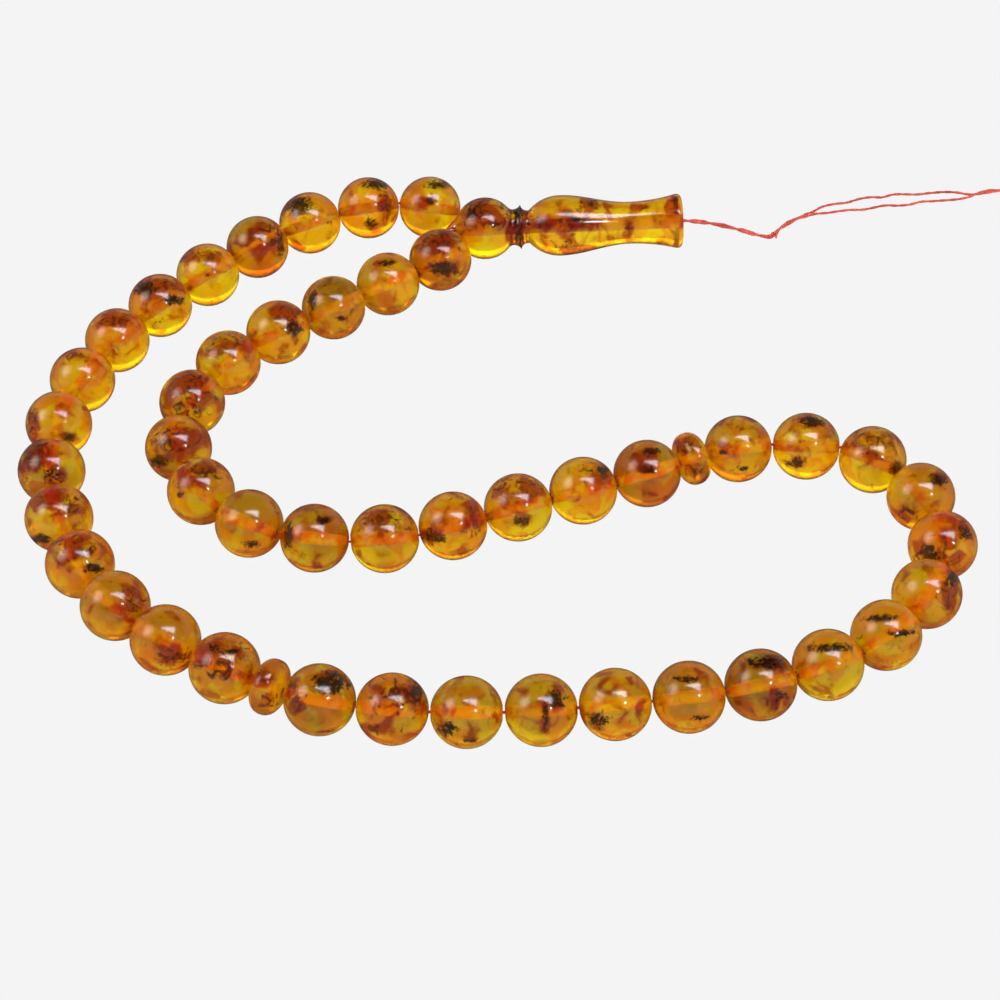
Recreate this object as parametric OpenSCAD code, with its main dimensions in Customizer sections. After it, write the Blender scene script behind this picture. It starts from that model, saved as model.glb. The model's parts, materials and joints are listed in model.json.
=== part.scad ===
// Misbaha (prayer beads) lying open on a table: three runs of round amber beads, two flat separators
// between the runs, and a turned imam where both ends of the one thread leave the loop.
// The table is z = 0, +Z is up, and the imam points along +X. The origin is under the middle of the loop.

/* [Beads] */
// Diameter of a round bead
bead_d = 10; // [8:0.5:12]
// Diameter of the thread hole through beads and separators
bead_bore_d = 1.2; // [1:0.1:1.6]
// Thread left free between two neighbours
bead_gap = 0.15; // [0.15:0.05:0.4]

/* [Separators] */
// Diameter of a separator
separator_d = 8; // [6:0.1:9]
// Thickness of a separator along the thread
separator_t = 4.4; // [3:0.1:5]

/* [Imam] */
// Length from the mouth beside the beads to the flat end
imam_length = 37; // [34:0.5:42]
// Diameter of the vase at its widest
imam_vase_d = 9.8; // [9:0.1:10]
// Diameter of the vase at its waist
imam_waist_d = 6.8; // [5.5:0.1:8]
// Diameter of the flared end
imam_end_d = 8.8; // [7.5:0.1:9.5]
// Diameter of the hole that holds both ends of the thread
imam_bore_d = 1.5; // [1.3:0.1:2]
// Turn of the imam away from +X, in degrees
imam_yaw = 1.8; // [0:0.1:4]

/* [Thread] */
// Diameter of the thread
thread_d = 0.45; // [0.35:0.05:0.5]

/* [Hidden] */
beads_per_run = 15;
BEADS = [for (i = [1 : 3 * beads_per_run]) str("bead_", i < 10 ? "0" : "", i)];

bead_r = bead_d / 2;
ball_r = bead_r;
axis_z = bead_r;
thread_r = thread_d / 2;
// Free space that keeps the thread off itself and off the table
THREAD_CLEARANCE = 0.05;
// Half the distance between the two ends of the thread where they lie side by side
pair_half = thread_r + THREAD_CLEARANCE;
TUBE_SIDES = 8;
// How full a separator's outline is: 2 is an ellipse, and more is squarer
SEPARATOR_POWER = 2.4;

// Centre line of the loop, from the first bead round to the last, with the imam's mouth at [0, 0]
ROUTE = [
    [-4, 6], [-14.5, 6], [-24.5, 2], [-40.5, -11], [-53.5, -26.5], [-60.5, -45.5], [-58, -66],
    [-48, -83.5], [-31.5, -95.5], [-18, -101.5], [2, -104], [22, -103], [42, -100], [60.5, -91],
    [70.5, -73.5], [62, -55.5], [42, -53], [28.5, -58], [9, -64.5], [-10.5, -70.5], [-31, -66.5],
    [-42, -50], [-35, -31], [-18.5, -18.5], [-2.4, -7.8]
];
// Points by the imam's mouth that the first and the last bead are turned towards
FIRST_LEAD = [2, 2];
LAST_LEAD = [1, -3];
// Share of the way that each piece moves from the route onto the thread between its two crossings
SETTLE = 0.5;

// Tail of the thread, from the middle of the imam's flat end: [x, y], height of the centre line above
// the table, and how far each strand is moved out to open a gap between the two
TAIL = [
    [0, 0, 5, 0], [1.5, 0.1, 4.8, 0], [4, 0.5, 4.1, 0], [7, 0.8, 3.1, 0], [10, 0.9, 2, 0],
    [12.5, 0.8, 1.1, 0], [14.5, 0.8, 0.6, 0], [15.6, 1.6, 0.5, 0], [16.6, 3, 0.5, 0],
    [17.9, 4.2, 0.5, 0], [19.5, 5.4, 0.5, 0], [21, 6.3, 0.4, 0], [22.5, 7.1, 0.3, 0.1],
    [24.5, 7.9, 0.3, 0.7], [26.5, 8.4, 0.3, 0.8], [28.5, 8.7, 0.3, 0.8], [30.5, 9.1, 0.3, 1.2],
    [32.5, 9.6, 0.3, 1.2], [34.5, 9.8, 0.3, 0.9], [36.5, 10.1, 0.3, 1.3], [38.5, 10.2, 0.3, 1.2],
    [40.5, 10.5, 0.3, 0.8], [42.5, 10.7, 0.3, 0.9], [45, 10.9, 0.3, 0.9], [47, 10.9, 0.3, 0.7],
    [48.8, 10.9, 0.3, 0.2], [50.5, 11.3, 0.4, 0], [53, 11.8, 0.5, 0], [56, 11.8, 0.5, 0],
    [60, 11.3, 0.5, 0], [64, 10.8, 0.5, 0], [68, 10.8, 0.5, 0], [72, 11.2, 0.5, 0], [75, 11.8, 0.5, 0]
];
// Height of the imam's axis that the heights in TAIL are given for
TAIL_AXIS_Z = 5;
KINK_ROW = 7;
// Rounding of the imam's flat end, and the angle at which the flare runs into it
RIM_R = 0.8;
RIM_START = 100;
// How far the thread runs straight out of the imam's mouth and out of the bead beside it
MOUTH_RUN = 1.2;
BEAD_RUN = 0.3;
kink_knot_size = [1.5, 1.1, 0.9];
end_knot_size = [2, 1.6, 1.3];

function unit(v) = v / norm(v);
function total(values) = [for (v = values) 1] * values;
function line_length(line) = total([for (i = [1 : len(line) - 1]) norm(line[i] - line[i - 1])]);

// Smooth curve through every point, with steps samples from each point to the next
function spline(points, steps) =
    let (
        ends = len(points) - 1,
        all = concat(
            [2 * points[0] - points[1]],
            points,
            [2 * points[ends] - points[ends - 1]]
        )
    )
    concat(
        [
            for (i = [1 : ends], k = [0 : steps - 1])
                let (t = k / steps, a = all[i - 1], b = all[i], c = all[i + 1], d = all[i + 2])
                (2 * b + (c - a) * t + (2 * a - 5 * b + 4 * c - d) * t * t
                    + (3 * b - a - 3 * c + d) * t * t * t) / 2
        ],
        [points[ends]]
    );

// Point of the line through a and b that lies at the given distance past p
function reach(a, b, p, distance) =
    let (
        u = b - a,
        h = u * (a - p),
        c = (a - p) * (a - p) - distance * distance
    )
    a + u * (sqrt(h * h - u * u * c) - h) / (u * u);

// First stretch of the line, from stretch k on, whose end is at least the given distance from p
function stretch(line, k, p, distance) =
    k + 2 >= len(line) || norm(line[k + 1] - p) >= distance ? k : stretch(line, k + 1, p, distance);

// Points along the line, each one step from the point before it
function walk(line, steps, p, i = 0, k = 0) =
    i == len(steps)
        ? [p]
        : let (j = stretch(line, k, p, steps[i]))
            concat([p], walk(line, steps, reach(line[j], line[j + 1], p, steps[i]), i + 1, j));

// Half the length that each piece takes up on the thread, in stringing order
function run_halves() = [for (i = [1 : beads_per_run]) bead_r];
halves = concat(run_halves(), [separator_t / 2], run_halves(), [separator_t / 2], run_halves());
steps = [for (i = [1 : len(halves) - 1]) halves[i - 1] + halves[i] + bead_gap];

// The route is scaled so that the strung pieces fill it from end to end
route_scale = total(steps) / line_length(spline(ROUTE, 2));
loop_line = spline(ROUTE, 12) * route_scale;
laid = walk(loop_line, steps, loop_line[0]);
last_piece = len(laid) - 1;

// Direction halfway between the ways to the two neighbours of each piece
neighbours = concat([FIRST_LEAD], laid, [LAST_LEAD]);
bisectors = [
    for (i = [0 : last_piece])
        unit(unit(neighbours[i + 1] - neighbours[i]) + unit(neighbours[i + 2] - neighbours[i + 1]))
];

// Where the thread crosses from piece i to the next one, for pieces at these places and directions
function crossing(places, ways, i) =
    (places[i] + ways[i] * halves[i] + places[i + 1] - ways[i + 1] * halves[i + 1]) / 2;

// Where the thread enters the first piece, crosses between the pieces and leaves the last one
crossings = concat(
    [laid[0] - bisectors[0] * (bead_r + bead_gap / 2)],
    [for (i = [0 : last_piece - 1]) crossing(laid, bisectors, i)],
    [laid[last_piece] + bisectors[last_piece] * (bead_r + bead_gap / 2)]
);

// Each piece points along the thread between its two crossings and lies close to it
directions = [for (i = [0 : last_piece]) unit(crossings[i + 1] - crossings[i])];
strung = [
    for (i = [0 : last_piece])
        laid[i] + SETTLE * ((crossings[i] + crossings[i + 1]) / 2 - laid[i])
];

// Shift from the imam's mouth to the middle of the loop
xs = [for (p = strung) p[0]];
ys = [for (p = strung) p[1]];
shift = -[min(xs) + max(xs), min(ys) + max(ys)] / 2;

function place(p, z = axis_z) = [p[0] + shift[0], p[1] + shift[1], z];

imam_way = [cos(imam_yaw), sin(imam_yaw)];
imam_side = [-sin(imam_yaw), cos(imam_yaw)];
function on_imam(along, aside) = imam_way * along + imam_side * aside;

// Places in the stringing order: each run of beads is followed by a separator
function separator_place(number) = number * (beads_per_run + 1) - 1;
function bead_place(number) = number - 1 + floor((number - 1) / beads_per_run);

// Closed tube along a path of 3D points
module tube(path, radius, sides = TUBE_SIDES) {
    rows = len(path);
    ways = [
        for (i = [0 : rows - 1])
            unit(path[min(i + 1, rows - 1)] - path[max(i - 1, 0)])
    ];
    rings = [
        for (i = [0 : rows - 1], s = [0 : sides - 1])
            let (
                across = unit(cross([0, 0, 1], ways[i])),
                over = cross(ways[i], across),
                angle = 360 * (s + 0.5) / sides
            )
            path[i] + radius * (across * cos(angle) + over * sin(angle))
    ];
    walls = [
        for (i = [0 : rows - 2], s = [0 : sides - 1])
            let (a = i * sides + s, b = i * sides + (s + 1) % sides)
            [a, a + sides, b + sides, b]
    ];
    start_cap = [for (s = [0 : sides - 1]) s];
    end_cap = [for (s = [sides - 1 : -1 : 0]) (rows - 1) * sides + s];
    polyhedron(rings, concat(walls, [start_cap], [end_cap]));
}

// Lays a shape whose thread hole runs along Z on the thread at the given place in the order
module string_at(index) {
    way = directions[index];
    translate(place(strung[index])) rotate([0, 90, atan2(way[1], way[0])]) children();
}

module thread_hole(length, d = bead_bore_d) {
    cylinder(h = length, d = d, center = true, $fn = 32);
}

module bead(number) {
    tones = ["goldenrod", "darkorange", "peru", "sienna", "orange"];
    color(tones[(2 * number) % len(tones)])
        string_at(bead_place(number)) difference() {
            sphere(d = bead_d, $fn = 64);
            thread_hole(2 * bead_d);
        }
}

module separator(number) {
    outline = [
        for (angle = [-90 : 7.5 : 90])
            let (c = cos(angle), s = sin(angle), share = 2 / SEPARATOR_POWER)
            [separator_d / 2 * abs(c) ^ share, separator_t / 2 * sign(s) * abs(s) ^ share]
    ];
    color("chocolate")
        string_at(separator_place(number)) difference() {
            rotate_extrude($fn = 64) polygon(outline);
            thread_hole(2 * separator_t);
        }
}

// Points of a circular arc, both ends included
function arc_points(centre, radius, start, end, n) =
    [
        for (k = [0 : n])
            let (a = start + (end - start) * k / n)
            centre + radius * [cos(a), sin(a)]
    ];
function inner(list) = [for (i = [1 : len(list) - 2]) list[i]];
function reversed(list) = [for (i = [len(list) - 1 : -1 : 0]) list[i]];

// Points of the circular arc that starts level at one point and ends at another
function level_arc(start, end, n) =
    let (
        span = end - start,
        radius = span * span / (2 * span[1])
    )
    [
        for (k = [0 : n])
            let (u = span[0] * k / n)
            start + [u, radius - sign(radius) * sqrt(radius * radius - u * u)]
    ];

// Half outline of the imam as [distance from the mouth, radius]: ball, neck, sharp collar, vase, flare
function imam_outline() =
    let (
        neck = [1.92, 0.58] * ball_r,
        collar = [2.16, 0.72] * ball_r,
        groove = [2.38, 0.53] * ball_r,
        shoulder = [2.44, 0.53] * ball_r,
        vase = [3.44 * ball_r, imam_vase_d / 2],
        waist = [0.77 * imam_length, imam_waist_d / 2],
        rim = [imam_length - RIM_R, imam_end_d / 2 - RIM_R],
        fillet_r = ((neck[0] - ball_r) ^ 2 + neck[1] ^ 2 - ball_r ^ 2) / (2 * (ball_r - neck[1])),
        fillet = [neck[0], neck[1] + fillet_r],
        ball_end = atan2(fillet[1], fillet[0] - ball_r)
    )
    concat(
        arc_points([ball_r, 0], ball_r, 180, ball_end, 16),
        inner(arc_points(fillet, fillet_r, 180 + ball_end, 270, 6)),
        level_arc(neck, collar, 5),
        reversed(level_arc(groove, collar, 5)),
        reversed(level_arc(vase, shoulder, 9)),
        [
            for (k = [1 : 13])
                let (t = k / 14)
                [vase[0] + (waist[0] - vase[0]) * t, waist[1] + (vase[1] - waist[1]) * (1 + cos(180 * t)) / 2]
        ],
        level_arc(waist, rim + RIM_R * [cos(RIM_START), sin(RIM_START)], 8),
        inner(arc_points(rim, RIM_R, RIM_START, 0, 6)),
        [[imam_length, rim[1]], [imam_length, 0]]
    );

module imam() {
    color("goldenrod")
        translate(place([0, 0])) rotate([0, 90, imam_yaw]) difference() {
            rotate_extrude($fn = 96) polygon([for (p = imam_outline()) [p[1], p[0]]]);
            thread_hole(3 * imam_length, imam_bore_d);
        }
}

// One end of the thread, from the flat end of the imam, midway between its ball and the bead beside it,
// to that bead: side is 1 for the far end and -1 for the near one
function imam_run(side, index, way) =
    let (aside = side * pair_half)
    [
        on_imam(imam_length, aside),
        on_imam(MOUTH_RUN, aside),
        on_imam(-MOUTH_RUN, aside + side * 2 * THREAD_CLEARANCE),
        (on_imam(ball_r, 0) + strung[index]) / 2,
        strung[index] + way * (bead_r + BEAD_RUN)
    ];

// The thread from the imam's flat end, through its hole, round the loop and back
module thread_loop() {
    path = concat(
        imam_run(1, 0, -directions[0]),
        [for (i = [0 : last_piece - 1]) crossing(strung, directions, i)],
        reversed(imam_run(-1, last_piece, directions[last_piece]))
    );
    color("firebrick") tube([for (p = path) place(p)], thread_r);
}

// Where a point of the tail lies, at a height that follows the imam's axis down to the table
function tail_place(row, aside = [0, 0]) =
    place(
        on_imam(imam_length, 0) + [row[0], row[1]] + aside,
        max(row[2] * axis_z / TAIL_AXIS_Z, thread_r + THREAD_CLEARANCE / 2)
    );

// One strand of the tail: side is 1 for the far strand and -1 for the near one
function tail_strand(side) =
    let (
        line = spline(TAIL, 2),
        rows = len(line)
    )
    [
        for (i = [0 : rows - 1])
            let (step = line[min(i + 1, rows - 1)] - line[max(i - 1, 0)])
            tail_place(line[i], unit([-step[1], step[0]]) * side * (pair_half + line[i][3]))
    ];

module tail_strand_far() {
    color("firebrick") tube(tail_strand(1), thread_r);
}

module tail_strand_near() {
    color("firebrick") tube(tail_strand(-1), thread_r);
}

// A small hard knot round both strands
module knot(row, size) {
    step = TAIL[min(row + 1, len(TAIL) - 1)] - TAIL[row - 1];
    translate(tail_place(TAIL[row]))
        rotate([0, 0, atan2(step[1], step[0])])
        resize(size) sphere(d = 1, $fn = 24);
}

module kink_knot() {
    color("crimson") knot(KINK_ROW, kink_knot_size);
}

module end_knot() {
    color("crimson") knot(len(TAIL) - 1, end_knot_size);
}

for (i = [0 : len(BEADS) - 1])
    bead(i + 1);
separator(1);  // separator_1
separator(2);  // separator_2
imam();
thread_loop();
tail_strand_far();
tail_strand_near();
kink_knot();
end_knot();
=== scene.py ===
"""Looks of the misbaha: amber beads, separators and imam on one twisted red thread, on a pale table.

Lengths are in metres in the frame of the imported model. The imam points along +X and +Z is up.
"""

import json
import math
import random

import bpy
from mathutils import Matrix, Vector


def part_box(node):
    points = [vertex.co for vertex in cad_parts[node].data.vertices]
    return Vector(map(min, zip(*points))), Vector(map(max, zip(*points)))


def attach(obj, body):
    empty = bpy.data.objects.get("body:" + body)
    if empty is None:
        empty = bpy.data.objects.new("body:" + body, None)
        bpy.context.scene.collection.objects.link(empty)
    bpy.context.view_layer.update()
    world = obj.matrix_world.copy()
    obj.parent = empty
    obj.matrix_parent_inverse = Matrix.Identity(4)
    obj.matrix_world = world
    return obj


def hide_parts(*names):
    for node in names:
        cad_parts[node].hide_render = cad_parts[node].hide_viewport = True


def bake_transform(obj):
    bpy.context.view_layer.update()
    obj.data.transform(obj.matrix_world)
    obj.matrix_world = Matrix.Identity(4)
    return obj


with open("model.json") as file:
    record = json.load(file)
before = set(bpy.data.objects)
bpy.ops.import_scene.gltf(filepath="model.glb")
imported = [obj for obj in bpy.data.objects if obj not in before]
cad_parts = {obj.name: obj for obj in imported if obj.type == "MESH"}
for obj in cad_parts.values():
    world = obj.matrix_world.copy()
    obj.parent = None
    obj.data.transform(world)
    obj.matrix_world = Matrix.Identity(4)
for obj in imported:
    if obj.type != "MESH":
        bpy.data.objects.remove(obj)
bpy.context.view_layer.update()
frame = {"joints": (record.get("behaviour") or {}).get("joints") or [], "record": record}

MM = 0.001
scene = bpy.context.scene
scene.view_settings.view_transform = "Standard"

# ---------------------------------------------------------------------------------------------
# Camera
# ---------------------------------------------------------------------------------------------

CAMERA_LENS = 99.0
CAMERA_AZIMUTH = math.radians(0.25)
CAMERA_ELEVATION = math.radians(44.86)
CAMERA_ROLL = math.radians(-0.94)
CAMERA_TARGET = Vector((1.5, -13.9, 5)) * MM
CAMERA_DISTANCE = 402.8 * MM

camera_forward = Vector(
    (
        math.sin(CAMERA_AZIMUTH) * math.cos(CAMERA_ELEVATION),
        math.cos(CAMERA_AZIMUTH) * math.cos(CAMERA_ELEVATION),
        -math.sin(CAMERA_ELEVATION),
    )
)
camera_right = Vector((math.cos(CAMERA_AZIMUTH), -math.sin(CAMERA_AZIMUTH), 0))
camera_up = camera_right.cross(camera_forward)


def make_camera():
    """Looks down on the loop from the front, with the imam at the far side."""
    data = bpy.data.cameras.new("camera")
    data.sensor_width = 36
    data.lens = CAMERA_LENS
    camera = bpy.data.objects.new("camera", data)
    x_axis = camera_right * math.cos(CAMERA_ROLL) + camera_up * math.sin(CAMERA_ROLL)
    y_axis = camera_up * math.cos(CAMERA_ROLL) - camera_right * math.sin(CAMERA_ROLL)
    matrix = Matrix((x_axis, y_axis, -camera_forward)).transposed().to_4x4()
    matrix.translation = CAMERA_TARGET - CAMERA_DISTANCE * camera_forward
    camera.matrix_world = matrix
    scene.collection.objects.link(camera)
    scene.camera = camera


make_camera()

# ---------------------------------------------------------------------------------------------
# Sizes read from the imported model
# ---------------------------------------------------------------------------------------------

TABLE_Z = 0.0
joints = {joint["name"]: joint for joint in frame["joints"]}
bead_low, bead_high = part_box("bead_01")
bead_radius = (bead_high.z - bead_low.z) / 2
axis_z = (bead_high.z + bead_low.z) / 2
imam_way = Vector(joints["imam_slide"]["axis"])
imam_side = Vector((-imam_way.y, imam_way.x, 0))


def strung_place(node):
    """Centre of a bead or separator and the direction of the thread through it."""
    spin = joints[node + "_spin"]
    return Vector(spin["pos_m"]), Vector(spin["axis"]).normalized()


# The other driving sizes of the part, which the boxes don't give
BEAD_BORE = 1.2 * MM
SEPARATOR_RADIUS = 4 * MM
SEPARATOR_HALF = 2.2 * MM
SEPARATOR_POWER = 2.4
IMAM_LENGTH = 37 * MM
IMAM_VASE_RADIUS = 4.9 * MM
IMAM_WAIST_RADIUS = 3.4 * MM
IMAM_END_RADIUS = 4.4 * MM
IMAM_RIM = 0.8 * MM
IMAM_BORE = 1.5 * MM
THREAD = 0.45 * MM
thread_radius = THREAD / 2
# Free space that keeps the two ends of the thread off each other
THREAD_CLEARANCE = 0.05 * MM
pair_half = thread_radius + THREAD_CLEARANCE
# How far the thread runs straight out of the imam's mouth and out of the bead beside it
MOUTH_RUN = 1.2 * MM
BEAD_RUN = 0.3 * MM

BEADS_PER_RUN = 15
bead_nodes = [f"bead_{number:02d}" for number in range(1, 3 * BEADS_PER_RUN + 1)]
strung_nodes = [
    *bead_nodes[:BEADS_PER_RUN],
    "separator_1",
    *bead_nodes[BEADS_PER_RUN : 2 * BEADS_PER_RUN],
    "separator_2",
    *bead_nodes[2 * BEADS_PER_RUN :],
]
# The tassel seat is a point of the imam's flat end that lies beside the thread hole
SEAT_ASIDE = 2 * MM
mounts = {mount["name"]: mount for mount in frame["record"]["mounts"]}
imam_tip = Vector(mounts["tassel_seat"]["pos_m"]) - imam_side * SEAT_ASIDE
imam_mouth = imam_tip - imam_way * IMAM_LENGTH

# ---------------------------------------------------------------------------------------------
# Thread: route of the tail, tubes and knots
# ---------------------------------------------------------------------------------------------

# Route of the tail from the middle of the imam's flat end, in millimetres: x, y, height of the
# centre line above the table, and how far each strand is moved out to open a gap between the two
TAIL = [
    (0, 0, 5, 0), (1.5, 0.1, 4.8, 0), (4, 0.5, 4.1, 0), (7, 0.8, 3.1, 0), (10, 0.9, 2, 0),
    (12.5, 0.8, 1.1, 0), (14.5, 0.8, 0.6, 0), (15.6, 1.6, 0.5, 0), (16.6, 3, 0.5, 0),
    (17.9, 4.2, 0.5, 0), (19.5, 5.4, 0.5, 0), (21, 6.3, 0.4, 0), (22.5, 7.1, 0.3, 0.1),
    (24.5, 7.9, 0.3, 0.7), (26.5, 8.4, 0.3, 0.8), (28.5, 8.7, 0.3, 0.8), (30.5, 9.1, 0.3, 1.2),
    (32.5, 9.6, 0.3, 1.2), (34.5, 9.8, 0.3, 0.9), (36.5, 10.1, 0.3, 1.3), (38.5, 10.2, 0.3, 1.2),
    (40.5, 10.5, 0.3, 0.8), (42.5, 10.7, 0.3, 0.9), (45, 10.9, 0.3, 0.9), (47, 10.9, 0.3, 0.7),
    (48.8, 10.9, 0.3, 0.2), (50.5, 11.3, 0.4, 0), (53, 11.8, 0.5, 0), (56, 11.8, 0.5, 0),
    (60, 11.3, 0.5, 0), (64, 10.8, 0.5, 0), (68, 10.8, 0.5, 0), (72, 11.2, 0.5, 0), (75, 11.8, 0.5, 0),
]
# Length of one turn of the two strands round each other, and of the two plies in a strand
PAIR_PITCH = 8 * MM
PLY_PITCH = 1.7 * MM
# Samples of the tail's curve from each row of its route to the next
TAIL_STEPS = 6
# Distance of each strand's middle from the pair's middle where they are twisted together
PAIR_TWISTED = 0.19 * MM
# Width of the opening above which the two strands don't twist
OPEN_WIDTH = 0.3 * MM


def spline_value(values, t):
    """Value at share t of the way from the second to the third of four values in a row."""
    a, b, c, d = values
    square = 2 * a - 5 * b + 4 * c - d
    cube = 3 * b - a - 3 * c + d
    return (2 * b + (c - a) * t + square * t * t + cube * t**3) / 2


def spline(rows, steps):
    """Smooth curve through every row of numbers, with the given samples from each to the next."""
    before = [2 * a - b for a, b in zip(rows[0], rows[1])]
    after = [2 * a - b for a, b in zip(rows[-1], rows[-2])]
    padded = [before, *rows, after]
    line = []
    for a, b, c, d in zip(padded, padded[1:], padded[2:], padded[3:]):
        for step in range(steps):
            t = step / steps
            line.append([spline_value(values, t) for values in zip(a, b, c, d)])
    line.append(list(rows[-1]))
    return line


def smooth(t):
    """Eases from 0 to 1, and stays there outside."""
    t = min(1, max(0, t))
    return t * t * (3 - 2 * t)


def directions_along(path):
    """Direction of the path at each of its points."""
    last = len(path) - 1
    return [(path[min(i + 1, last)] - path[max(i - 1, 0)]).normalized() for i in range(last + 1)]


def distances_along(path):
    """Length of the path from its start to each of its points."""
    distances = [0.0]
    for a, b in zip(path, path[1:]):
        distances.append(distances[-1] + (b - a).length)
    return distances


def tail_line():
    """Centre line of the pair of strands, and the opening at each point."""
    rows = spline(TAIL, TAIL_STEPS)
    points = []
    for x, y, height, _ in rows:
        z = max(height * MM * axis_z / bead_radius, thread_radius + 0.02 * MM)
        points.append(Vector((imam_tip.x + x * MM, imam_tip.y + y * MM, z)))
    return points, [max(row[3], 0) * MM for row in rows]


def tail_strand_path(side):
    """Path of one strand, twisted round the other wherever the two lie together."""
    points, openings = tail_line()
    ways = directions_along(points)
    distances = distances_along(points)
    together = [smooth(1 - opening / OPEN_WIDTH) for opening in openings]
    turns = [0.0]
    for i in range(1, len(points)):
        turns.append(turns[-1] + together[i] * (distances[i] - distances[i - 1]) / PAIR_PITCH)
    opened = next(i for i, share in enumerate(together) if share == 0)
    closed = max(i for i, share in enumerate(together) if share == 0)
    first_turns = turns[opened]
    last_turns = turns[-1] - turns[closed]
    path = []
    for i, (point, way) in enumerate(zip(points, ways)):
        if i <= opened:
            turned = turns[i] * round(first_turns) / first_turns
        else:
            turned = max(0, turns[i] - turns[closed]) * round(last_turns) / last_turns
        across = Vector((-way.y, way.x, 0)).normalized()
        angle = 2 * math.pi * turned
        offset = across * math.cos(angle) + way.cross(across) * -math.sin(angle)
        placed = point + offset * side * (PAIR_TWISTED + openings[i])
        placed.z = max(placed.z, thread_radius)
        path.append(placed)
    return path


def tube(path, radius, ply_pitch=PLY_PITCH, sides=12):
    """Vertices and faces of a closed two-ply twisted tube along a path."""
    ways = directions_along(path)
    distances = distances_along(path)
    verts = []
    for point, way, distance in zip(path, ways, distances):
        across = Vector((-way.y, way.x, 0)).normalized()
        over = way.cross(across)
        for side in range(sides):
            angle = 2 * math.pi * side / sides
            lobes = 0.86 + 0.14 * math.cos(2 * (angle - 2 * math.pi * distance / (2 * ply_pitch)))
            verts.append(point + radius * lobes * (across * math.cos(angle) + over * math.sin(angle)))
    faces = []
    for row in range(len(path) - 1):
        for side in range(sides):
            a = row * sides + side
            b = row * sides + (side + 1) % sides
            faces.append((a, b, b + sides, a + sides))
    faces.append(tuple(reversed(range(sides))))
    faces.append(tuple(range((len(path) - 1) * sides, len(path) * sides)))
    return verts, faces


def add_mesh(name, verts, faces, materials, indices=None):
    """A smooth-shaded piece; indices give the material of each face where there are several."""
    mesh = bpy.data.meshes.new(name)
    mesh.from_pydata(verts, [], faces)
    mesh.polygons.foreach_set("use_smooth", [True] * len(mesh.polygons))
    for material in materials:
        mesh.materials.append(material)
    if indices:
        mesh.polygons.foreach_set("material_index", indices)
    mesh.update()
    mesh.validate()
    piece = bpy.data.objects.new(name, mesh)
    scene.collection.objects.link(piece)
    return piece


def fine(path, spacing):
    """The same path with points about one spacing apart."""
    points = [path[0]]
    for a, b in zip(path, path[1:]):
        parts = max(1, round((b - a).length / spacing))
        points += [a.lerp(b, (k + 1) / parts) for k in range(parts)]
    return points


# ---------------------------------------------------------------------------------------------
# Materials
# ---------------------------------------------------------------------------------------------


def new_material(name):
    material = bpy.data.materials.new(name)
    material.use_nodes = True
    return material, material.node_tree, material.node_tree.nodes["Principled BSDF"]


def add_node(tree, kind, inputs=(), **settings):
    """Adds a node, sets its options, and fills or links its inputs by index."""
    node = tree.nodes.new(kind)
    for key, value in settings.items():
        setattr(node, key, value)
    for index, value in inputs:
        if isinstance(value, bpy.types.NodeSocket):
            tree.links.new(value, node.inputs[index])
        else:
            node.inputs[index].default_value = value
    return node


def add_math(tree, operation, a, b):
    return add_node(tree, "ShaderNodeMath", [(0, a), (1, b)], operation=operation).outputs[0]


def add_noise(tree, scale, detail=2.0, roughness=0.5, distortion=0.0):
    """3D noise fixed to the piece, with the scale in waves per metre."""
    place = add_node(tree, "ShaderNodeTexCoord").outputs["Object"]
    node = add_node(tree, "ShaderNodeTexNoise", [("Vector", place), ("Scale", scale)])
    node.inputs["Detail"].default_value = detail
    node.inputs["Roughness"].default_value = roughness
    node.inputs["Distortion"].default_value = distortion
    return node.outputs["Fac"]


def add_edge(tree, field, wobble, strength, low, high):
    """0 to 1 mask where a painted field, made ragged by noise, passes from low to high."""
    centred = add_math(tree, "SUBTRACT", wobble, 0.5)
    ragged = add_math(tree, "ADD", field, add_math(tree, "MULTIPLY", centred, strength))
    limits = [(0, ragged), (1, low), (2, high)]
    return add_node(tree, "ShaderNodeMapRange", limits, interpolation_type="SMOOTHSTEP").outputs[0]


def add_mix(tree, share, a, b):
    """Colour a at share 0 and colour b at share 1."""
    node = add_node(tree, "ShaderNodeMix", data_type="RGBA")
    for index, value in ((0, share), (6, a), (7, b)):
        if isinstance(value, bpy.types.NodeSocket):
            tree.links.new(value, node.inputs[index])
        else:
            node.inputs[index].default_value = value
    return node.outputs[2]


def rgb(red, green, blue):
    """An opaque colour in linear values."""
    return (red, green, blue, 1.0)


# What amber lets through, by kind
HONEY = rgb(1.00, 0.35, 0.001)
GOLD = rgb(1.00, 0.74, 0.003)
RUST = rgb(0.40, 0.040, 0.001)
OLIVE = rgb(0.74, 0.45, 0.006)
BROWN = rgb(0.08, 0.011, 0.001)
DARK = rgb(0.008, 0.005, 0.002)
AMBER_IOR = 1.54
# Thread reds: the deep one is also painted shade between the fibres, the pale one also a painted highlight on
# their crowns
THREAD_DEEP_AND_SHADE = rgb(0.44, 0.025, 0.012)
THREAD_PALE_AND_HIGHLIGHT = rgb(0.72, 0.11, 0.06)
INKS = ("dark", "rust", "gold", "olive")


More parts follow.
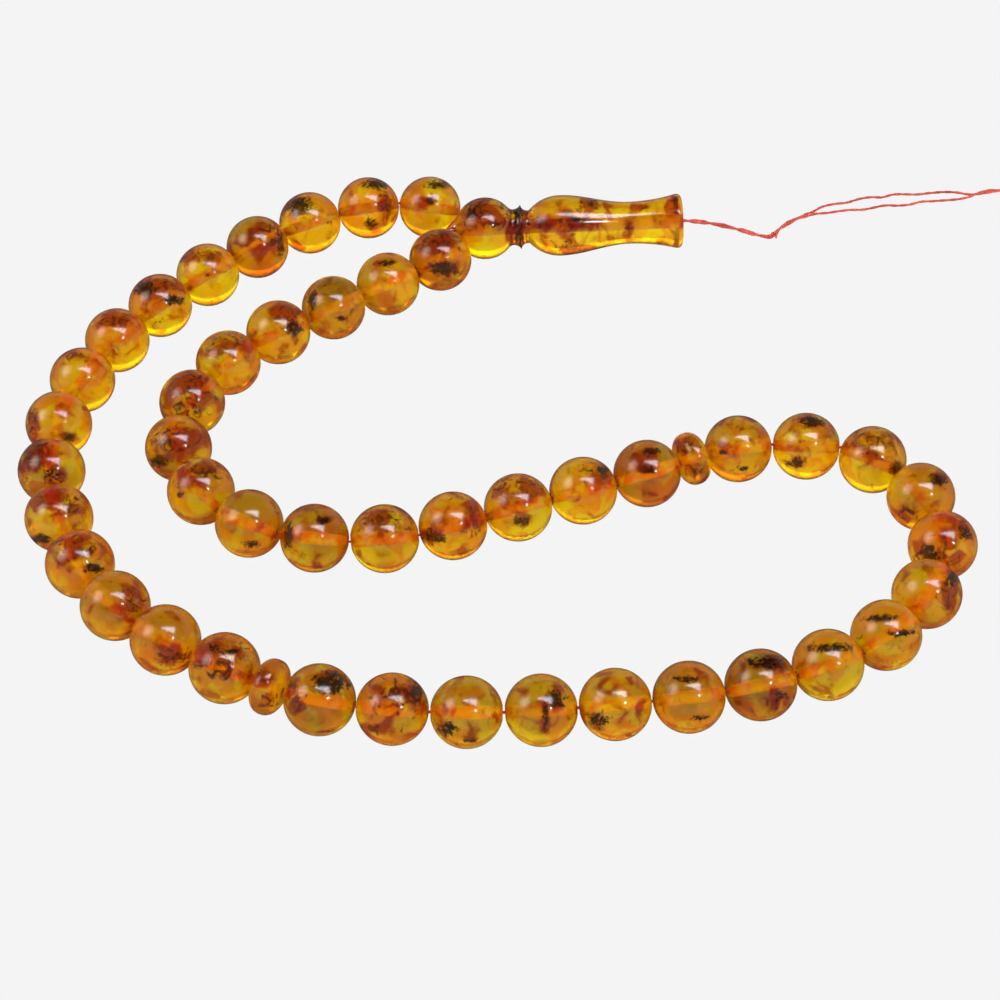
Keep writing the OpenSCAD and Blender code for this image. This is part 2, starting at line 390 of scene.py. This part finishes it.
def amber_material(name, golden):
    """Cloudy amber with crisp dark inclusions, painted from the piece's ink fields.

    The higher golden is, the more of the amber is gold.
    """
    material, tree, shader = new_material(name)
    inks = add_node(tree, "ShaderNodeAttribute", attribute_name="inks")
    dark, rust, gold = add_node(tree, "ShaderNodeSeparateColor", [(0, inks.outputs["Color"])]).outputs
    cloud = add_noise(tree, 290, detail=2, distortion=0.9)
    veil = add_noise(tree, 340, detail=3, distortion=0.5)
    wisps = add_noise(tree, 640, detail=3, roughness=0.55, distortion=1.5)
    specks = add_noise(tree, 2300, detail=4, roughness=0.75)
    gilded = add_math(tree, "ADD", gold, golden)
    halo = add_math(tree, "MAXIMUM", rust, add_math(tree, "MULTIPLY", dark, 0.8))
    colour = add_mix(tree, add_edge(tree, gilded, cloud, 9.0, 0.1, 0.9), HONEY, GOLD)
    colour = add_mix(tree, add_edge(tree, inks.outputs["Alpha"], wisps, 3.0, 0.2, 1.0), colour, OLIVE)
    colour = add_mix(tree, add_edge(tree, halo, veil, 6.0, 0.1, 1.2), colour, RUST)
    colour = add_mix(tree, add_edge(tree, halo, wisps, 6.0, 0.7, 1.9), colour, BROWN)
    colour = add_mix(tree, add_edge(tree, dark, wisps, 3.6, 0.5, 1.4), colour, DARK)
    colour = add_mix(tree, add_edge(tree, dark, specks, 3.6, 0.7, 1.2), colour, DARK)
    tree.links.new(colour, shader.inputs["Base Color"])
    shader.inputs["Transmission Weight"].default_value = 0.86
    shader.inputs["IOR"].default_value = AMBER_IOR
    shader.inputs["Specular IOR Level"].default_value = 0.1
    shader.inputs["Roughness"].default_value = 0.18
    shader.inputs["Coat Weight"].default_value = 0.5
    shader.inputs["Coat Roughness"].default_value = 0.11
    return material


def bore_material(name, deep, bright, scale):
    """The drilled wall seen through the amber: frosted, and brighter than the rest where it's clear."""
    material, tree, shader = new_material(name)
    streaks = add_noise(tree, scale, detail=3)
    colour = add_mix(tree, add_edge(tree, streaks, streaks, 0.0, 0.4, 0.6), deep, bright)
    tree.links.new(colour, shader.inputs["Base Color"])
    shader.inputs["Roughness"].default_value = 0.6
    shader.inputs["Specular IOR Level"].default_value = 0.2
    return material


def thread_material(name):
    """Coral-red spun thread with random paler patches, plus painted highlight on fibre crowns and shade
    between.
    """
    material, tree, shader = new_material(name)
    fibres = add_noise(tree, 9000, detail=3)
    fade = add_noise(tree, 300, detail=2)
    # Painted highlight and shade: paler where the fibre bump is high and deeper between, mixed with random
    # paler patches
    wobble = add_math(tree, "MULTIPLY", add_math(tree, "ADD", fibres, fade), 0.5)
    pale = add_edge(tree, wobble, fibres, 0.0, 0.35, 0.65)
    colour = add_mix(tree, pale, THREAD_DEEP_AND_SHADE, THREAD_PALE_AND_HIGHLIGHT)
    tree.links.new(colour, shader.inputs["Base Color"])
    shader.inputs["Roughness"].default_value = 0.75
    shader.inputs["Sheen Weight"].default_value = 0.25
    bump = add_node(tree, "ShaderNodeBump", [("Height", fibres), ("Strength", 0.4), ("Distance", 0.05 * MM)])
    tree.links.new(bump.outputs[0], shader.inputs["Normal"])
    return material


amber = {
    "bead": amber_material("amber_bead", 0),
    "separator": amber_material("amber_separator", -0.2),
    "imam": amber_material("amber_imam", 0.4),
}
amber_bore = bore_material("amber_bore", rgb(1, 0.30, 0.001), rgb(1, 0.66, 0.002), 700)
imam_bore = bore_material("imam_bore", rgb(0.55, 0.07, 0.002), rgb(1, 0.5, 0.004), 120)
red_thread = thread_material("red_thread")

# ---------------------------------------------------------------------------------------------
# Tail of the thread
# ---------------------------------------------------------------------------------------------


def make_tail_strand(node, side):
    """One end of the thread, from inside the imam's flat end to the end knot."""
    path = fine(tail_strand_path(side), 0.25 * MM)
    strand = add_mesh(node + "_thread", *tube(path, thread_radius), [red_thread])
    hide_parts(node)
    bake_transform(strand)


# Height of a knot against its width, and how far its thread is pulled thin
KNOT_FLATNESS = 0.8
KNOT_TIGHTNESS = 0.8


def make_knot(node, radius, stubs):
    """A small hard knot: a thread wound round the pair, with short loose ends."""
    low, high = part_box(node)
    middle = (low + high) / 2
    verts = []
    faces = []
    loops = 3
    steps = 90
    half = (high.x - low.x) / 2 - thread_radius
    path = []
    for step in range(steps + 1):
        share = step / steps
        angle = 2 * math.pi * loops * share
        bulge = radius * (0.7 + 0.3 * math.sin(math.pi * share))
        along = half * (2 * share - 1)
        height = KNOT_FLATNESS * bulge * math.sin(angle)
        path.append(middle + Vector((along, bulge * math.cos(angle), height)))
    for line in [path] + [[middle + Vector(p) * MM for p in stub] for stub in stubs]:
        more_verts, more_faces = tube(fine(line, 0.15 * MM), KNOT_TIGHTNESS * thread_radius, sides=8)
        faces += [tuple(index + len(verts) for index in face) for face in more_faces]
        verts += more_verts
    for vert in verts:
        vert.z = max(vert.z, TABLE_Z)
    knot = add_mesh(node + "_wound", verts, faces, [red_thread])
    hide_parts(node)
    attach(knot, "thread")


make_tail_strand("tail_strand_far", 1)
make_tail_strand("tail_strand_near", -1)
make_knot("kink_knot", 0.32 * MM, [[(0, 0, 0), (0.2, -0.6, 0.1), (0.1, -1.3, 0.3)]])
make_knot("end_knot", 0.5 * MM, [[(0.5, 0.1, 0), (1.4, 0.5, -0.3)], [(0.5, -0.1, 0), (1.5, -0.3, -0.3)]])


def make_thread_loop():
    """The stretch of thread held by the pieces: down the imam, round the loop and back."""

    def on_imam(along, aside):
        """Point in the imam's thread hole, so far from its mouth and aside from the hole's middle."""
        return imam_mouth + imam_way * along + imam_side * aside

    def imam_run(side, centre, way):
        """From the imam's flat end to the near mouth of the end bead, which points back along way."""
        aside = side * pair_half
        return [
            on_imam(IMAM_LENGTH, aside),
            on_imam(MOUTH_RUN, aside),
            on_imam(-MOUTH_RUN, aside + side * 2 * THREAD_CLEARANCE),
            (on_imam(bead_radius, 0) + centre) / 2,
            centre + way * (bead_radius + BEAD_RUN),
        ]

    places = [strung_place(node) for node in strung_nodes]
    halves = [SEPARATOR_HALF if node.startswith("separator") else bead_radius for node in strung_nodes]
    path = imam_run(1, places[0][0], -places[0][1])
    for i in range(len(places) - 1):
        mouth = places[i][0] + places[i][1] * halves[i]
        next_mouth = places[i + 1][0] - places[i + 1][1] * halves[i + 1]
        path.append((mouth + next_mouth) / 2)
    path += reversed(imam_run(-1, places[-1][0], places[-1][1]))
    loop = add_mesh("thread_loop_twisted", *tube(fine(path, 0.4 * MM), thread_radius, sides=10), [red_thread])
    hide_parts("thread_loop")
    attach(loop, "thread")


make_thread_loop()

# ---------------------------------------------------------------------------------------------
# Amber pieces
# ---------------------------------------------------------------------------------------------


# How much wider than its bore a mouth is at the surface
MOUTH_EASE = 0.1 * MM
BEAD_SEGMENTS = 64
IMAM_SEGMENTS = 96


def revolve(name, outline, bore_radius, start, way, segments, materials):
    """A piece turned about its thread hole: the outline runs from mouth to mouth as [along, radius]."""
    side = Vector((-way.y, way.x, 0)).normalized()
    over = way.cross(side)
    bore_rings = 6
    first, last = outline[0][0], outline[-1][0]
    wall = [(last + (first - last) * k / bore_rings, bore_radius) for k in range(1, bore_rings)]
    profile = list(outline) + wall
    verts = []
    for along, radius in profile:
        for k in range(segments):
            angle = 2 * math.pi * k / segments
            verts.append(start + way * along + radius * (side * math.cos(angle) + over * math.sin(angle)))
    faces = []
    indices = []
    for ring in range(len(profile)):
        below = ring * segments
        above = (ring + 1) % len(profile) * segments
        for k in range(segments):
            after = (k + 1) % segments
            faces.append((below + k, below + after, above + after, above + k))
            indices.append(0 if ring < len(outline) - 1 else 1)
    return add_mesh(name, verts, faces, materials, indices)


def arc(centre, radius, start_angle, end_angle, steps):
    """Points of a circular arc, both ends included, in degrees."""
    angles = [math.radians(start_angle + (end_angle - start_angle) * k / steps) for k in range(steps + 1)]
    return [(centre[0] + radius * math.cos(a), centre[1] + radius * math.sin(a)) for a in angles]


def eased(outline, bore_radius, ease):
    """Rounds the two bore mouths of an outline that ends at the bore's radius."""
    first, last = outline[0], outline[-1]
    opening = [(first[0] + ease, bore_radius), (first[0] + ease * 0.3, bore_radius + ease * 0.25)]
    closing = [(last[0] - ease * 0.3, bore_radius + ease * 0.25), (last[0] - ease, bore_radius)]
    return opening + outline[1:-1] + closing


def bead_outline(radius, bore_radius):
    """A ball from mouth to mouth."""
    mouth = math.degrees(math.asin((bore_radius + MOUTH_EASE) / radius))
    return arc((0, 0), radius, 180 - mouth, mouth, 44)


def separator_outline(bore_radius):
    """Fuller than an ellipse, with points close together at the rim."""
    steps = 48
    share = 2 / SEPARATOR_POWER
    mouth = math.acos(((bore_radius + MOUTH_EASE) / SEPARATOR_RADIUS) ** (1 / share))
    outline = []
    for k in range(steps + 1):
        angle = mouth * (2 * k / steps - 1)
        along = math.copysign(abs(math.sin(angle)) ** share, angle)
        outline.append((SEPARATOR_HALF * along, SEPARATOR_RADIUS * math.cos(angle) ** share))
    return outline


# Strength of an ink at the middle of its blotch, and how much of it is gone at the blotch's edge
INK_PEAK = 1.25
INK_FALL = 0.75


def front_fields(blotches, offset, radius):
    """Strength of each ink at a point of the side that faces the camera."""
    fields = [0.0] * len(INKS)
    right = offset.dot(camera_right) / radius
    up = offset.dot(camera_up) / radius
    facing = smooth(0.5 - 2 * offset.dot(camera_forward) / radius)
    for ink, at_right, at_up, width, height in blotches:
        distance = ((right - at_right) / width) ** 2 + ((up - at_up) / height) ** 2
        index = INKS.index(ink)
        fields[index] = max(fields[index], facing * max(0, INK_PEAK - INK_FALL * distance))
    return fields


def hidden_blotches(rng, count, reach):
    """Blotches of the other sides, as (ink, place in radii, size), up to reach either way along the piece."""
    chances = ("dark", "rust", "rust", "gold", "gold", "gold", "olive")
    blotches = []
    for _ in range(count):
        ink = rng.choice(chances)
        direction = Vector((rng.gauss(0, 1), rng.gauss(0, 1), rng.gauss(0, 1))).normalized()
        size = rng.uniform(0.25, 0.5) if ink == "dark" else rng.uniform(0.45, 0.9)
        blotches.append((ink, direction + reach * rng.uniform(-1, 1), size))
    return blotches


def paint(piece, centre, radius, blotches, others):
    """Stores the ink fields on the piece's points."""
    values = []
    for vertex in piece.data.vertices:
        offset = vertex.co - centre
        fields = front_fields(blotches, offset, radius)
        away = smooth(0.5 + 2 * offset.dot(camera_forward) / radius)
        for ink, place, size in others:
            distance = ((offset / radius - place).length / size) ** 2
            index = INKS.index(ink)
            fields[index] = max(fields[index], away * (INK_PEAK - INK_FALL * distance))
        values += fields
    attribute = piece.data.attributes.new("inks", "FLOAT_COLOR", "POINT")
    attribute.data.foreach_set("color", values)


# What shows on each bead from the front, as (ink, right, up, half width, half height) in bead radii
BLOTCHES = {
    1: [("dark", 0.3, 0.65, 0.45, 0.2), ("dark", 0.05, 0.1, 0.25, 0.15), ("gold", 0, -0.5, 0.8, 0.4)],
    2: [("dark", 0.3, 0.7, 0.5, 0.25), ("rust", 0.6, 0.1, 0.3, 0.6), ("dark", 0.1, -0.6, 0.25, 0.2)],
    3: [("dark", -0.3, 0.5, 0.6, 0.4), ("gold", 0.3, -0.3, 0.8, 0.7)],
    4: [("gold", -0.5, 0, 0.4, 0.6), ("rust", 0.5, 0.3, 0.5, 0.5), ("dark", 0.8, 0, 0.15, 0.4)],
    5: [("gold", 0.4, -0.5, 0.5, 0.4), ("rust", -0.2, 0.5, 0.7, 0.3), ("dark", 0.1, -0.1, 0.1, 0.1)],
    6: [("dark", -0.4, 0.5, 0.5, 0.3), ("dark", 0.5, 0.1, 0.35, 0.2), ("rust", 0, 0.5, 0.8, 0.5),
        ("gold", 0, -0.6, 0.7, 0.35)],
    7: [("rust", 0, 0.6, 0.7, 0.35), ("gold", 0.1, -0.5, 0.7, 0.3)],
    8: [("gold", 0.1, -0.1, 0.9, 0.8), ("rust", -0.4, 0.7, 0.5, 0.25)],
    9: [("gold", 0.1, 0, 0.8, 0.8), ("rust", -0.7, 0, 0.3, 0.7), ("dark", 0.4, -0.4, 0.25, 0.15)],
    10: [("dark", 0.2, -0.15, 0.35, 0.3), ("rust", -0.3, 0.4, 0.7, 0.6), ("gold", 0.7, -0.3, 0.3, 0.6)],
    11: [("rust", 0.1, 0.5, 0.8, 0.4), ("dark", -0.4, -0.6, 0.35, 0.15)],
    12: [("rust", 0, 0.5, 0.8, 0.45), ("dark", 0.5, -0.1, 0.3, 0.15), ("gold", -0.5, -0.5, 0.4, 0.4)],
    13: [("olive", -0.2, 0.2, 0.8, 0.8), ("rust", 0.6, 0.1, 0.35, 0.6), ("gold", -0.3, -0.5, 0.6, 0.3)],
    14: [("olive", 0, 0.4, 0.9, 0.5), ("rust", 0.3, -0.4, 0.5, 0.3)],
    15: [("rust", 0, 0.3, 0.9, 0.6), ("dark", -0.2, 0.6, 0.2, 0.12), ("dark", 0.3, 0.5, 0.2, 0.1)],
    16: [("dark", 0.35, 0.5, 0.6, 0.35), ("gold", 0, -0.5, 0.8, 0.4), ("rust", -0.6, 0.2, 0.3, 0.5)],
    17: [("rust", 0.2, 0.4, 0.8, 0.5), ("dark", 0.7, 0.5, 0.2, 0.4), ("rust", -0.4, -0.5, 0.5, 0.2)],
    18: [("gold", 0, 0.1, 0.9, 0.9), ("dark", -0.5, -0.4, 0.3, 0.25), ("dark", 0.1, -0.7, 0.25, 0.1)],
    19: [("olive", -0.2, 0.2, 0.9, 0.8), ("dark", 0.35, 0.35, 0.35, 0.3), ("dark", 0.1, -0.1, 0.12, 0.5),
         ("gold", -0.5, -0.4, 0.4, 0.4)],
    20: [("gold", 0, 0, 0.9, 0.9), ("dark", -0.5, -0.35, 0.35, 0.25)],
    21: [("olive", 0, 0.2, 0.9, 0.7), ("dark", -0.1, 0.55, 0.4, 0.12), ("dark", 0.2, -0.5, 0.3, 0.1)],
    22: [("dark", 0.1, 0.65, 0.6, 0.2), ("rust", 0.4, -0.4, 0.5, 0.4), ("olive", -0.2, 0.2, 0.6, 0.5)],
    23: [("dark", 0, 0.5, 0.75, 0.15), ("gold", 0, -0.5, 0.8, 0.4), ("olive", 0, 0.2, 0.7, 0.3)],
    24: [("dark", -0.2, 0.5, 0.6, 0.12), ("dark", 0.3, 0.1, 0.5, 0.1), ("olive", 0, 0.1, 0.5, 0.4)],
    25: [("rust", 0.6, 0.1, 0.4, 0.7), ("dark", 0.6, 0.4, 0.25, 0.25), ("gold", -0.5, 0, 0.4, 0.7)],
    26: [("dark", -0.5, -0.3, 0.35, 0.4), ("dark", 0.5, 0.4, 0.3, 0.3), ("rust", 0, 0, 0.4, 0.9)],
    27: [("olive", -0.1, 0.1, 0.8, 0.8), ("dark", 0.4, 0.5, 0.4, 0.2), ("rust", -0.5, -0.5, 0.35, 0.35)],
    28: [("rust", 0, 0.5, 0.8, 0.45), ("dark", 0.6, -0.3, 0.3, 0.25), ("gold", -0.1, -0.6, 0.6, 0.35)],
    29: [("gold", 0, 0, 0.9, 0.8), ("dark", 0.1, 0.7, 0.5, 0.2), ("dark", -0.4, -0.5, 0.3, 0.2)],
    30: [("gold", 0, 0, 1, 1), ("dark", -0.5, -0.1, 0.15, 0.1), ("dark", 0.1, -0.6, 0.2, 0.1),
         ("rust", 0.1, 0.6, 0.3, 0.1)],
    31: [("dark", 0, 0.1, 0.4, 0.15), ("dark", 0.1, 0.65, 0.35, 0.15), ("gold", -0.3, -0.5, 0.6, 0.4)],
    32: [("gold", -0.5, 0, 0.45, 0.7), ("rust", 0.35, 0.5, 0.5, 0.4), ("dark", 0.6, 0.6, 0.25, 0.15)],
    33: [("rust", 0, 0.5, 0.8, 0.4), ("dark", 0.1, -0.4, 0.3, 0.2), ("gold", 0.6, -0.1, 0.35, 0.5)],
    34: [("dark", -0.5, -0.3, 0.35, 0.25), ("rust", 0.5, 0.2, 0.4, 0.5), ("gold", 0, -0.5, 0.5, 0.4)],
    35: [("rust", 0.1, 0.5, 0.8, 0.45), ("gold", -0.3, -0.5, 0.6, 0.4)],
    36: [("dark", -0.7, 0.1, 0.2, 0.5), ("dark", 0.3, 0.5, 0.25, 0.15), ("gold", 0.2, -0.4, 0.7, 0.5)],
    37: [("olive", 0, 0.5, 0.8, 0.4), ("dark", 0.1, -0.6, 0.3, 0.15)],
    38: [("rust", 0, 0.5, 0.8, 0.4), ("gold", 0, -0.5, 0.8, 0.4), ("dark", -0.5, -0.1, 0.15, 0.1)],
    39: [("rust", 0.1, 0.3, 0.8, 0.6), ("dark", -0.5, -0.4, 0.35, 0.2), ("gold", 0.6, -0.3, 0.3, 0.5)],
    40: [("rust", 0, 0.2, 0.9, 0.9), ("gold", 0.1, -0.3, 0.6, 0.15)],
    41: [("rust", 0, 0.5, 0.8, 0.4), ("gold", 0.1, -0.4, 0.7, 0.5)],
    42: [("gold", -0.4, 0.4, 0.5, 0.4), ("dark", 0.5, 0.1, 0.35, 0.3), ("rust", 0.3, 0.5, 0.5, 0.4)],
    43: [("olive", 0, 0.2, 0.9, 0.8), ("dark", -0.6, 0.2, 0.2, 0.4), ("dark", 0.3, -0.4, 0.2, 0.1)],
    44: [("gold", 0, -0.2, 0.9, 0.8), ("dark", 0, 0.6, 0.35, 0.15)],
    45: [("rust", 0, 0.5, 0.8, 0.45), ("dark", 0.1, -0.35, 0.5, 0.3)],
}
SEPARATOR_BLOTCHES = [
    ("rust", -0.3, 0.4, 0.4, 0.4), ("rust", 0.1, -0.4, 0.4, 0.3), ("gold", 0.4, 0, 0.3, 0.5),
]
# The same on the imam, in millimetres from the middle of its length
IMAM_BLOTCHES = [
    ("rust", -14.5, 3, 5, 3.5), ("rust", -13, 0.8, 4.5, 2.2), ("dark", -15.5, 1.5, 1, 1.2),
    ("gold", -11.3, -2.8, 2.4, 1.8), ("rust", -8, 0, 2, 5), ("dark", -8, 1.5, 1, 2.6),
    ("dark", -8, -2, 0.8, 1.2), ("gold", -5.2, -1.8, 1, 1.8), ("gold", -2.5, 3.8, 4, 1.5),
    ("rust", 0.2, 0.3, 6.5, 1.7), ("dark", 1.7, 0.3, 1.8, 0.6), ("rust", 3.6, 3.2, 2.2, 1.1),
    ("dark", 3.6, 3.3, 0.9, 0.5), ("rust", 6.2, 3, 0.8, 0.7), ("rust", 11.5, 2.5, 1.5, 0.6),
    ("rust", 0.1, -2.1, 1.6, 1.8), ("rust", 9.8, -1.2, 1, 1.6), ("rust", 0.7, -4.2, 3.5, 0.8),
    ("gold", 2.8, -1.8, 1.6, 1.6), ("gold", 7.2, -1.2, 2, 1.8), ("gold", 12.8, -1, 2.4, 1.8),
    ("gold", 17, -1.6, 1.2, 2), ("rust", 16.8, 2.6, 1.4, 1.6), ("gold", 9, 1.2, 4, 1),
    ("gold", -11.5, -4, 3, 1),
]


def finish_amber(piece, node, body):
    """Puts the amber piece in place of its CAD node."""
    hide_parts(node)
    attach(piece, body)


def make_bead(number):
    node = f"bead_{number:02d}"
    centre, way = strung_place(node)
    bore_radius = BEAD_BORE / 2
    outline = eased(bead_outline(bead_radius, bore_radius), bore_radius, ease=0.2 * MM)
    materials = [amber["bead"], amber_bore]
    bead = revolve(node + "_amber", outline, bore_radius, centre, way, BEAD_SEGMENTS, materials)
    others = hidden_blotches(random.Random(number), count=7, reach=Vector())
    paint(bead, centre, bead_radius, BLOTCHES[number], others)
    finish_amber(bead, node, node)


def make_separator(number):
    node = f"separator_{number}"
    centre, way = strung_place(node)
    bore_radius = BEAD_BORE / 2
    outline = eased(separator_outline(bore_radius), bore_radius, ease=0.15 * MM)
    materials = [amber["separator"], amber_bore]
    separator = revolve(node + "_amber", outline, bore_radius, centre, way, BEAD_SEGMENTS, materials)
    others = hidden_blotches(random.Random(100 + number), count=5, reach=Vector())
    paint(separator, centre, SEPARATOR_RADIUS, SEPARATOR_BLOTCHES, others)
    finish_amber(separator, node, node)


def level_arc(start, end, steps):
    """Circular arc that starts level at one point and ends at the other."""
    run = end[0] - start[0]
    rise = end[1] - start[1]
    radius = (run * run + rise * rise) / (2 * rise)
    points = []
    for k in range(steps + 1):
        along = run * k / steps
        drop = math.copysign(math.sqrt(radius * radius - along * along), radius)
        points.append((start[0] + along, start[1] + radius - drop))
    return points


def imam_outline():
    """Ball, neck, sharp collar, vase and flared end, as [distance from the mouth, radius]."""
    ball = bead_radius
    neck = (1.92 * ball, 0.58 * ball)
    collar = (2.16 * ball, 0.72 * ball)
    groove = (2.38 * ball, 0.53 * ball)
    shoulder = (2.44 * ball, 0.53 * ball)
    vase = (3.44 * ball, IMAM_VASE_RADIUS)
    waist = (0.77 * IMAM_LENGTH, IMAM_WAIST_RADIUS)
    rim = (IMAM_LENGTH - IMAM_RIM, IMAM_END_RADIUS - IMAM_RIM)
    fillet_radius = ((neck[0] - ball) ** 2 + neck[1] ** 2 - ball**2) / (2 * (ball - neck[1]))
    fillet = (neck[0], neck[1] + fillet_radius)
    ball_end = math.degrees(math.atan2(fillet[1], fillet[0] - ball))
    mouth = math.degrees(math.asin((IMAM_BORE / 2 + MOUTH_EASE) / ball))
    outline = arc((ball, 0), ball, 180 - mouth, ball_end, 36)
    outline += arc(fillet, fillet_radius, 180 + ball_end, 270, 10)[1:-1]
    outline += level_arc(neck, collar, 8)
    outline += level_arc(groove, collar, 8)[-2::-1]
    outline += level_arc(vase, shoulder, 22)[::-1]
    for k in range(1, 30):
        t = k / 30
        swing = (1 + math.cos(math.pi * t)) / 2
        outline.append((vase[0] + (waist[0] - vase[0]) * t, waist[1] + (vase[1] - waist[1]) * swing))
    outline += level_arc(waist, (rim[0] - 0.2 * IMAM_RIM, rim[1] + 0.98 * IMAM_RIM), 18)
    outline += arc(rim, IMAM_RIM, 78, 0, 8)
    outline += [(IMAM_LENGTH, IMAM_END_RADIUS * share) for share in (0.6, 0.35)]
    outline.append((IMAM_LENGTH, IMAM_BORE / 2 + MOUTH_EASE))
    return outline


def make_imam():
    bore_radius = IMAM_BORE / 2
    outline = eased(imam_outline(), bore_radius, ease=0.25 * MM)
    materials = [amber["imam"], imam_bore]
    imam = revolve("imam_amber", outline, bore_radius, imam_mouth, imam_way, IMAM_SEGMENTS, materials)
    centre = (imam_mouth + imam_tip) / 2
    blotches = [(ink, *(size * MM / bead_radius for size in sizes)) for ink, *sizes in IMAM_BLOTCHES]
    reach = imam_way * IMAM_LENGTH / 2 / bead_radius
    others = hidden_blotches(random.Random(7), count=24, reach=reach)
    paint(imam, centre, bead_radius, blotches, others)
    finish_amber(imam, "imam", "imam")


for number in BLOTCHES:
    make_bead(number)
make_separator(1)
make_separator(2)
make_imam()

# ---------------------------------------------------------------------------------------------
# Table, lights and surroundings
# ---------------------------------------------------------------------------------------------

# Brightness of the table to the eye, and what it reflects under the pieces and mirrored in them
PAPER = 0.905
FLOOR_SHADE = rgb(0.9, 0.9, 0.9)
FLOOR_MIRRORED = rgb(0.12, 0.12, 0.12)
FLOOR_HALF = 3.0
PANEL_DISTANCE = 1.6
# Brightness of the surroundings as a light, and as they show mirrored in the polished amber
WORLD_STRENGTH = 2.9
WORLD_MIRRORED = 0.3
COVE = rgb(1, 1, 1)
OVERHEAD = rgb(0.07, 0.07, 0.08)


def stage_material(name):
    material = bpy.data.materials.new(name)
    material.use_nodes = True
    tree = material.node_tree
    tree.nodes.clear()
    return material, tree, add_node(tree, "ShaderNodeOutputMaterial")


def add_mirrored(tree):
    """1 where the surface shows mirrored in a polished piece, and 0 elsewhere."""
    rays = add_node(tree, "ShaderNodeLightPath").outputs
    return add_math(tree, "SUBTRACT", rays["Is Glossy Ray"], rays["Is Transmission Ray"])


def make_floor():
    """Plain pale table: evenly lit to the eye, shaded by the pieces where it shows through them."""
    material, tree, output = stage_material("table")
    shade = add_mix(tree, add_mirrored(tree), FLOOR_SHADE, FLOOR_MIRRORED)
    paper = add_node(tree, "ShaderNodeBsdfDiffuse", [("Color", shade)])
    glow = add_node(tree, "ShaderNodeEmission", [("Color", rgb(1, 1, 1)), ("Strength", PAPER)])
    seen = add_node(tree, "ShaderNodeLightPath").outputs["Is Camera Ray"]
    parts = [(0, seen), (1, paper.outputs[0]), (2, glow.outputs[0])]
    mix = add_node(tree, "ShaderNodeMixShader", parts)
    tree.links.new(mix.outputs[0], output.inputs["Surface"])
    corners = [(-1, -1), (1, -1), (1, 1), (-1, 1)]
    verts = [(x * FLOOR_HALF, y * FLOOR_HALF, TABLE_Z) for x, y in corners]
    floor = add_mesh("table", verts, [(0, 1, 2, 3)], [material])


def make_panel(name, toward, corners, strength, tint, soft_edge):
    """A glowing panel in the given direction from the beads, with corners in metres across and up it."""
    material, tree, output = stage_material(name)
    place = add_node(tree, "ShaderNodeAttribute", attribute_name="from_middle").outputs["Fac"]
    limits = [(0, place), (1, 1.0), (2, 1 - soft_edge)]
    fade = add_node(tree, "ShaderNodeMapRange", limits, interpolation_type="SMOOTHSTEP")
    power = add_math(tree, "MULTIPLY", fade.outputs[0], strength)
    glow = add_node(tree, "ShaderNodeEmission", [("Color", tint), ("Strength", power)])
    tree.links.new(glow.outputs[0], output.inputs["Surface"])
    way = Vector(toward).normalized()
    across = (Vector((1, 0, 0)) - way * way.x).normalized()
    up = way.cross(across)
    middle = way * PANEL_DISTANCE
    rings = [0.0001] + [k / 8 for k in range(1, 9)]
    verts = [middle + share * (across * x + up * y) for share in rings for x, y in corners]
    count = len(corners)
    faces = [
        (low + k, low + (k + 1) % count, low + count + (k + 1) % count, low + count + k)
        for low in range(0, count * (len(rings) - 1), count)
        for k in range(count)
    ]
    panel = add_mesh(name, verts, faces, [material])
    attribute = panel.data.attributes.new("from_middle", "FLOAT", "POINT")
    attribute.data.foreach_set("value", [share for share in rings for _ in corners])
    panel.visible_camera = False


def make_world():
    """Bright near the horizon like a white cove, darker overhead."""
    world = bpy.data.worlds.new("studio")
    scene.world = world
    world.use_nodes = True
    tree = world.node_tree
    place = add_node(tree, "ShaderNodeTexCoord").outputs["Generated"]
    height = add_node(tree, "ShaderNodeSeparateXYZ", [(0, place)]).outputs[2]
    share = add_node(tree, "ShaderNodeMapRange", [(0, height), (1, 0.1), (2, 0.55)]).outputs[0]
    colour = add_mix(tree, share, COVE, OVERHEAD)
    dimmed = add_math(tree, "MULTIPLY", add_mirrored(tree), WORLD_STRENGTH - WORLD_MIRRORED)
    background = tree.nodes["Background"]
    tree.links.new(colour, background.inputs["Color"])
    tree.links.new(add_math(tree, "SUBTRACT", WORLD_STRENGTH, dimmed), background.inputs["Strength"])


def ellipse(half_width, half_height):
    angles = [2 * math.pi * k / 24 for k in range(24)]
    return [(half_width * math.cos(a), half_height * math.sin(a)) for a in angles]


SOFTBOX = [(-0.75, 0.1), (0.75, -0.4), (0.75, 0.4), (-0.75, 0.2)]
make_floor()
make_panel("softbox", (0.19, -0.16, 0.97), SOFTBOX, 9, rgb(0.92, 0.90, 1), 0.35)
make_panel("side_light", (-0.77, -0.03, 0.64), ellipse(0.75, 0.75), 4, rgb(1, 0.9, 0.82), 0.95)
make_panel("spark", (0.48, -0.53, 0.70), ellipse(0.06, 0.06), 70, rgb(1, 0.95, 0.85), 0.1)
make_world()
